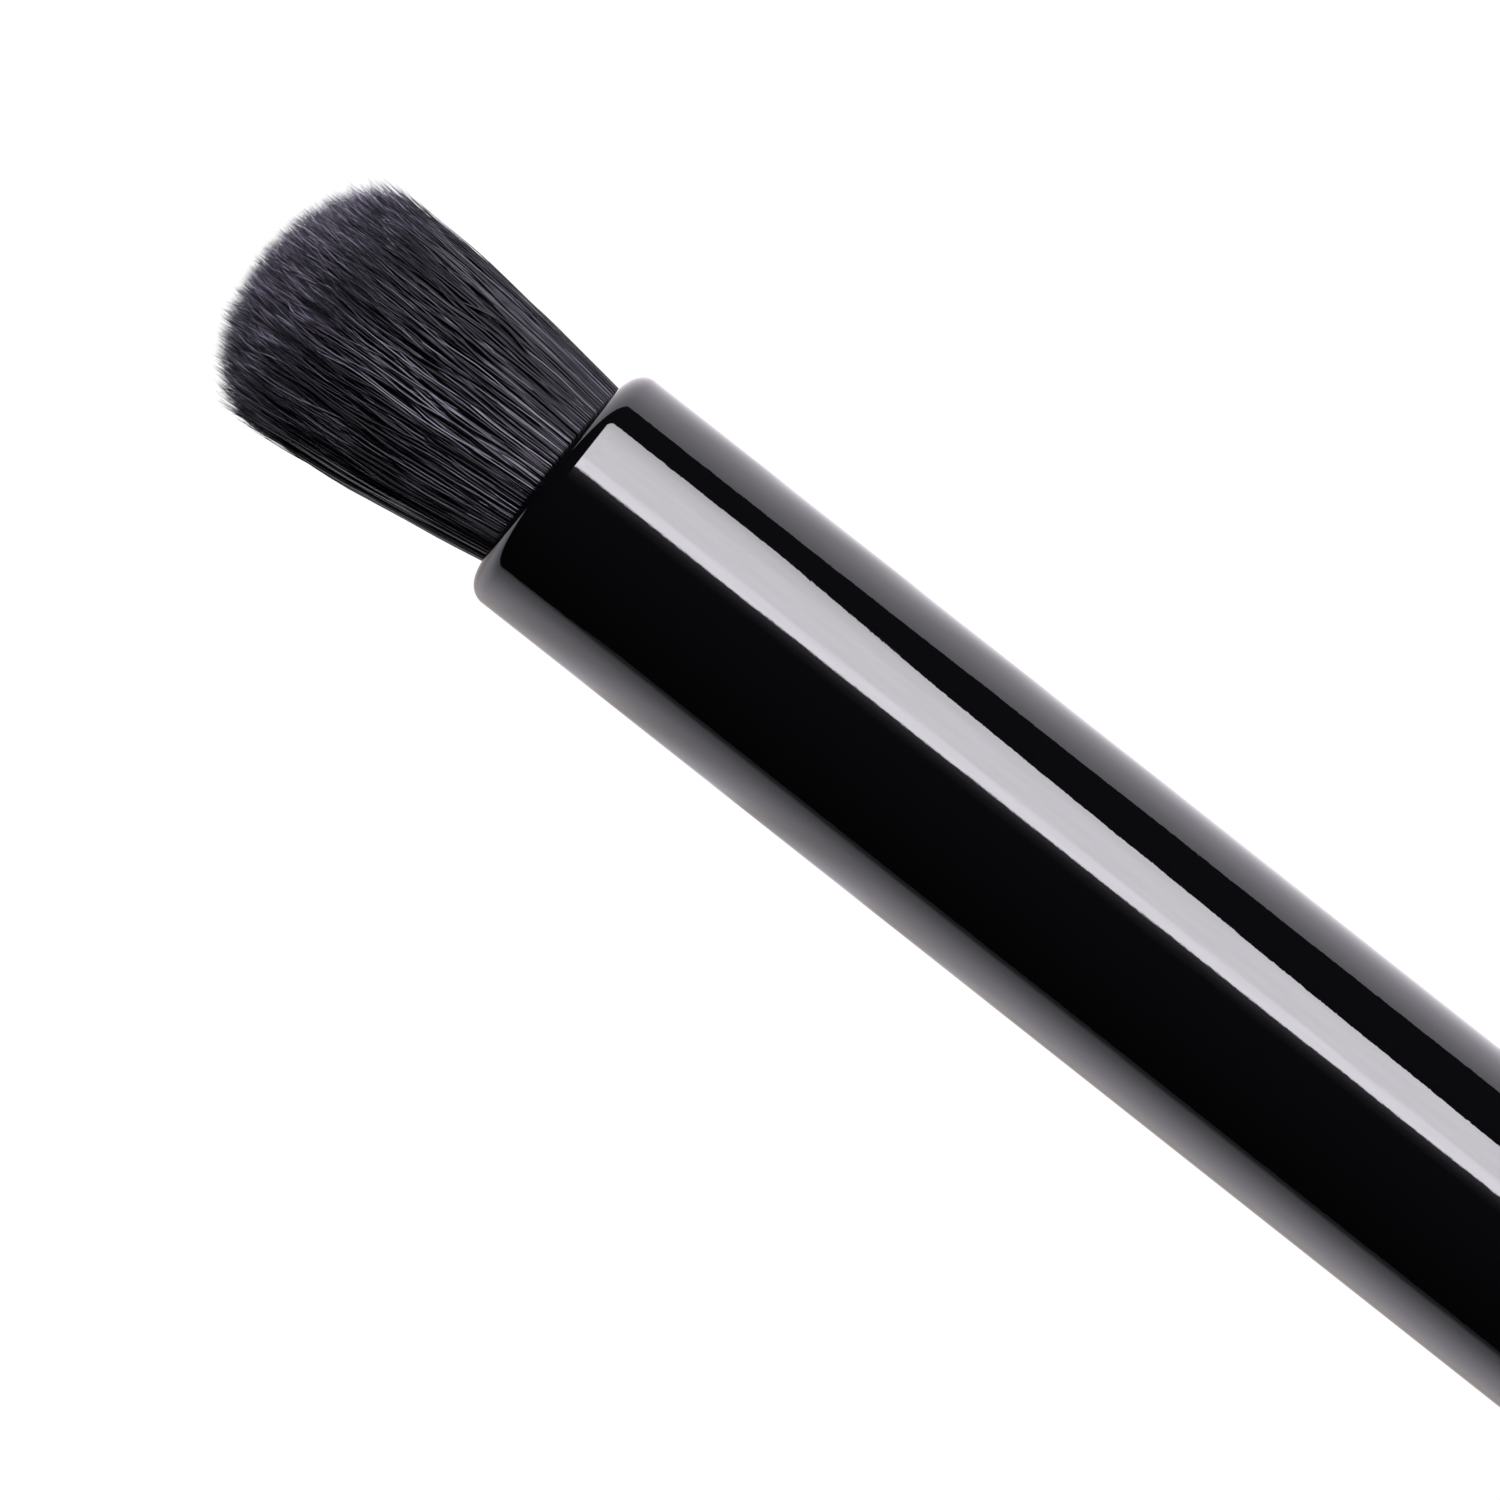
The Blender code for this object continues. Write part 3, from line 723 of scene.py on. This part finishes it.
def filamentMesh(name, centres, radii, left, tone, twist, materials):
    # each filament is a three-sided tube that ends in a point:
    # centre + radius * (cos a, sin a) for three angles a at each station but the last
    count, stations = radii.shape
    angle = twist[:, None, None] + 2 * np.pi * np.arange(3) / 3
    offset = np.stack([0 * angle, np.cos(angle), np.sin(angle)], -1) * radii[:, :-1, None, None]
    rings = centres[:, :-1, None] + offset
    points = placed(np.concatenate([rings.reshape(count, -1, 3), centres[:, -1:]], 1))
    points[:, :, 2] = np.maximum(points[:, :, 2], tuft["leastHeight"] * mm)
    ring, side = np.meshgrid(np.arange(stations - 2) * 3, np.arange(3), indexing="ij")
    beside = (side + 1) % 3
    quads = np.stack([ring + side, ring + 3 + side, ring + 3 + beside, ring + beside], -1)
    quads = quads.reshape(-1, 4)
    last, end = (stations - 2) * 3, (stations - 1) * 3
    tips = np.array([[last, end, last + 1], [last + 1, end, last + 2], [last + 2, end, last]])
    blocks = (quads, tips, np.array([[0, 1, 2]]))
    start = (np.arange(count) * (end + 1))[:, None, None]
    faces = [(block[None] + start).reshape(-1, block.shape[1]) for block in blocks]
    fromTip = np.concatenate([np.repeat(left[:, :-1], 3, 1), left[:, -1:]], 1)
    attributes = {"fromTip": fromTip, "tone": np.repeat(tone, end + 1)}
    glossy = tone > filament["glossyFrom"]
    slots = np.concatenate([np.repeat(glossy, len(block)) for block in blocks])
    return surface(name, points.reshape(-1, 3), faces, materials, attributes, slots=slots)


def meshParts(name, parts, strands, materials):
    # shares the strands between this many meshes, from the middle of the tuft outwards
    per = len(strands[0]) // parts
    pieces = []
    for i in range(parts):
        some = [values[i * per : (i + 1) * per] for values in strands]
        pieces.append(filamentMesh(f"{name}{i + 1}", *some, materials))
    return pieces


flags = {
    "count": 12000,
    "parts": 2,
    "stations": 5,
    "fork": (0.5, 1.5),  # how far before its filament's tip a flag leaves it
    "reach": (-0.35, 0.14),  # how far past that tip it ends
    "spread": 0.14,
    "thickness": 0.0065,
    "thicker": 4.0,  # times the thickness, added for the lightest
    "tipThickness": 0.001,
    "tonePower": 9,
}


def growFlags(centres, tone, rng):
    # the filaments' split ends: each follows the last four steps of its filament in a straight
    # line and strays to the side by spread * share of its length squared
    count = flags["count"]
    parent = rng.integers(len(centres), size=count)
    tip, before = centres[parent, -1], centres[parent, -5]
    along = (tip - before) / np.linalg.norm(tip - before, axis=1, keepdims=True)
    start = -rng.uniform(*flags["fork"], (count, 1, 1))
    end = rng.uniform(*flags["reach"], (count, 1, 1))
    share = np.linspace(0, 1, flags["stations"])[None, :, None]
    path = tip[:, None] + along[:, None] * (start + (end - start) * share)
    path = path + strays(rng, (count, 1, 3)) * flags["spread"] * [0, 1, 1] * share**2
    thickness = flags["thickness"] * (1 + flags["thicker"] * tone[:, None])
    radii = thickness + (flags["tipThickness"] - thickness) * share[:, :, 0]
    return path, radii, np.abs(end - start)[:, :, 0] * (1 - share[:, :, 0])


filament = {
    "specular": {"black tapered PBT filament": 0.21, "glossy black PBT filament": 0.5},
    "glossyFrom": 0.28,  # tone from which a filament is a glossy one
    "body": "#050507",
    "tip": "#131118",
    "end": "#4d4b56",
    "paler": (4.0, 0.3),  # distances from its end between which it turns to the tip's colour
    "palest": (0.8, 0.0),  # likewise the end's
    "tones": (0.3, 6.0),  # darkest and lightest, times the colour
    "roughness": (0.08, 0.2),  # of the lightest and the darkest
    "etched": 0.25,  # roughness added towards its end
    "etchedFrom": (11.5, 8.0),  # distances from its end between which it sets in
    "sheen": "#f1efff",
    "ior": 1.53,
}


def filamentMaterial(name, specular):
    # dyed PBT filament, ground to a taper: a soft sheen along each one, paler and bluer where
    # it is thin
    settings = {
        "IOR": filament["ior"],
        "Specular IOR Level": specular,
        "Specular Tint": linear(filament["sheen"]),
    }
    material, tree, shader = newMaterial(name, settings)
    fromTip = addNode(tree, "ShaderNodeAttribute", {"attribute_name": "fromTip"})
    tone = addNode(tree, "ShaderNodeAttribute", {"attribute_name": "tone"})
    paler = addNode(
        tree,
        "ShaderNodeMapRange",
        {
            "interpolation_type": "SMOOTHSTEP",
            "From Min": filament["paler"][0],
            "From Max": filament["paler"][1],
        },
        {"Value": (fromTip, "Fac")},
    )
    palest = addNode(
        tree,
        "ShaderNodeMapRange",
        {"From Min": filament["palest"][0], "From Max": filament["palest"][1]},
        {"Value": (fromTip, "Fac")},
    )
    colour = addNode(
        tree,
        "ShaderNodeMix",
        {"data_type": "RGBA", 6: linear(filament["body"]), 7: linear(filament["tip"])},
        {0: (paler, "Result")},
    )
    colour = addNode(
        tree,
        "ShaderNodeMix",
        {"data_type": "RGBA", 7: linear(filament["end"])},
        {0: (palest, "Result"), 6: (colour, 2)},
    )
    darkest, lightest = filament["tones"]
    shade = addNode(
        tree,
        "ShaderNodeMapRange",
        {"To Min": darkest, "To Max": lightest},
        {"Value": (tone, "Fac")},
    )
    shaded = addNode(
        tree,
        "ShaderNodeVectorMath",
        {"operation": "SCALE"},
        {0: (colour, 2), "Scale": (shade, "Result")},
    )
    glossiest, dullest = filament["roughness"]
    duller = addNode(
        tree,
        "ShaderNodeMapRange",
        {"To Min": dullest, "To Max": glossiest},
        {"Value": (tone, "Fac")},
    )
    untouched, dulled = filament["etchedFrom"]
    etched = addNode(
        tree,
        "ShaderNodeMapRange",
        {"From Min": untouched, "From Max": dulled, "To Max": filament["etched"]},
        {"Value": (fromTip, "Fac")},
    )
    rough = addNode(
        tree,
        "ShaderNodeMath",
        {"operation": "ADD"},
        {0: (duller, "Result"), 1: (etched, "Result")},
    )
    tree.links.new(shaded.outputs[0], shader.inputs["Base Color"])
    tree.links.new(rough.outputs[0], shader.inputs["Roughness"])
    return material


rootSlice = {
    "setback": 5.4,
    "length": 3.0,
    "radius": 3.75,
    "grooveRadius": 3.25,
    "margin": 0.3,
    "around": 96,
}


def makeRootSlice(materials):
    # the glued roots, a disc with a groove for the binding thread: its outline is turned
    # about the axis
    front, back = rootSlice["setback"], rootSlice["setback"] + rootSlice["length"]
    outer, groove, margin = rootSlice["radius"], rootSlice["grooveRadius"], rootSlice["margin"]
    outline = [
        (front, 0.0),
        (front, outer),
        (front + margin, outer),
        (front + margin, groove),
        (back - margin, groove),
        (back - margin, outer),
        (back, outer),
        (back, 0.0),
    ]
    return revolve("rootSlice", np.array(outline), rootSlice["around"], materials)


def makeTuft(materials):
    rng = np.random.default_rng(tuft["seed"])
    centres, radii, left = growFilaments(rng)
    tone = rng.random(len(radii)) ** tuft["tonePower"]
    twist = rng.uniform(0, 2 * np.pi, len(radii))
    strands = (centres, radii, left, tone, twist)
    pieces = meshParts("filaments", tuft["parts"], strands, materials)
    tone = rng.random(flags["count"]) ** flags["tonePower"]
    path, radii, left = growFlags(centres, tone, rng)
    twist = rng.uniform(0, 2 * np.pi, len(radii))
    strands = (path, radii, left, tone, twist)
    pieces += meshParts("flaggedTips", flags["parts"], strands, materials)
    pieces.append(makeRootSlice(materials[:1]))
    for piece in pieces:
        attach(piece, "root")
        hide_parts("bristle_tuft")


makeTuft([filamentMaterial(name, level) for name, level in filament["specular"].items()])
print(f"tuft of {tuft['filaments']} filaments grown")


# Pieces sealed inside the barrel: their CAD shapes stay, and each gets its own material
inside = {
    "tuft_cup": {
        "name": "drawn aluminium",  # bright, with fine lines along it from the drawing die
        "shader": {"Metallic": 1.0},
        "colours": ("#c4c5c8", "#dfe0e2"),
        "roughness": (0.2, 0.38),
        "grain": (2.5, 0.03, 0.03),  # waves along X, Y and Z
        "height": 0.0015,
    },
    "balance_weight": {
        "name": "turned steel",  # grey, with the rings that the cutting tool leaves
        "shader": {"Metallic": 1.0},
        "colours": ("#8b8c8f", "#adaeb0"),
        "roughness": (0.28, 0.45),
        "grain": (0.06, 6.0, 6.0),
        "height": 0.004,
    },
    "liner": {
        "name": "natural polypropylene",  # milky and waxy, light passes a little way into it
        "shader": {
            "IOR": 1.49,
            "Subsurface Weight": 0.25,
            "Subsurface Radius": (0.0012, 0.0011, 0.0009),
        },
        "colours": ("#d3d2c9", "#e2e1da"),
        "roughness": (0.38, 0.52),
        "grain": (9.0, 1.6, 1.6),
        "height": 0.006,
    },
    "root_glue": {
        "name": "amber epoxy",  # glassy brown resin with cloudy places
        "shader": {
            "IOR": 1.55,
            "Subsurface Weight": 0.3,
            "Subsurface Radius": (0.001, 0.0005, 0.0002),
        },
        "colours": ("#8a5a1e", "#b5853f"),
        "roughness": (0.08, 0.2),
        "grain": (1.1, 1.1, 1.1),
        "height": 0.01,
    },
    "binding_thread": {
        "name": "waxed cotton thread",  # off-white, matt, its plies just visible
        "shader": {"IOR": 1.53, "Sheen Weight": 0.4, "Sheen Roughness": 0.5},
        "colours": ("#b9b39f", "#e4dfcf"),
        "roughness": (0.7, 0.9),
        "grain": (0.05, 0.14, 0.14),
        "height": 0.02,
    },
}


def grainyMaterial(look):
    # noise, stretched to the size of the grain, mixes the two colours and the two roughnesses
    # and raises the surface
    material, tree, shader = newMaterial(look["name"], look["shader"])
    grain = stretchedNoise(tree, look["grain"], 4.0)
    first, second = 0.3, 0.7  # the noise's values at the two colours
    share = addNode(
        tree,
        "ShaderNodeMapRange",
        {"From Min": first, "From Max": second},
        {"Value": (grain, "Fac")},
    )
    darker, lighter = (linear(colour) for colour in look["colours"])
    colour = addNode(
        tree,
        "ShaderNodeMix",
        {"data_type": "RGBA", 6: darker, 7: lighter},
        {0: (share, "Result")},
    )
    low, high = look["roughness"]
    rough = addNode(
        tree,
        "ShaderNodeMapRange",
        {"To Min": low, "To Max": high},
        {"Value": (share, "Result")},
    )
    bump = addNode(
        tree,
        "ShaderNodeBump",
        {"Distance": look["height"] * mm},
        {"Height": (grain, "Fac")},
    )
    tree.links.new(colour.outputs[2], shader.inputs["Base Color"])
    tree.links.new(rough.outputs["Result"], shader.inputs["Roughness"])
    tree.links.new(bump.outputs["Normal"], shader.inputs["Normal"])
    return material


for node, look in inside.items():
    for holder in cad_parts[node].material_slots:
        holder.material = grainyMaterial(look)
print("inner pieces finished")
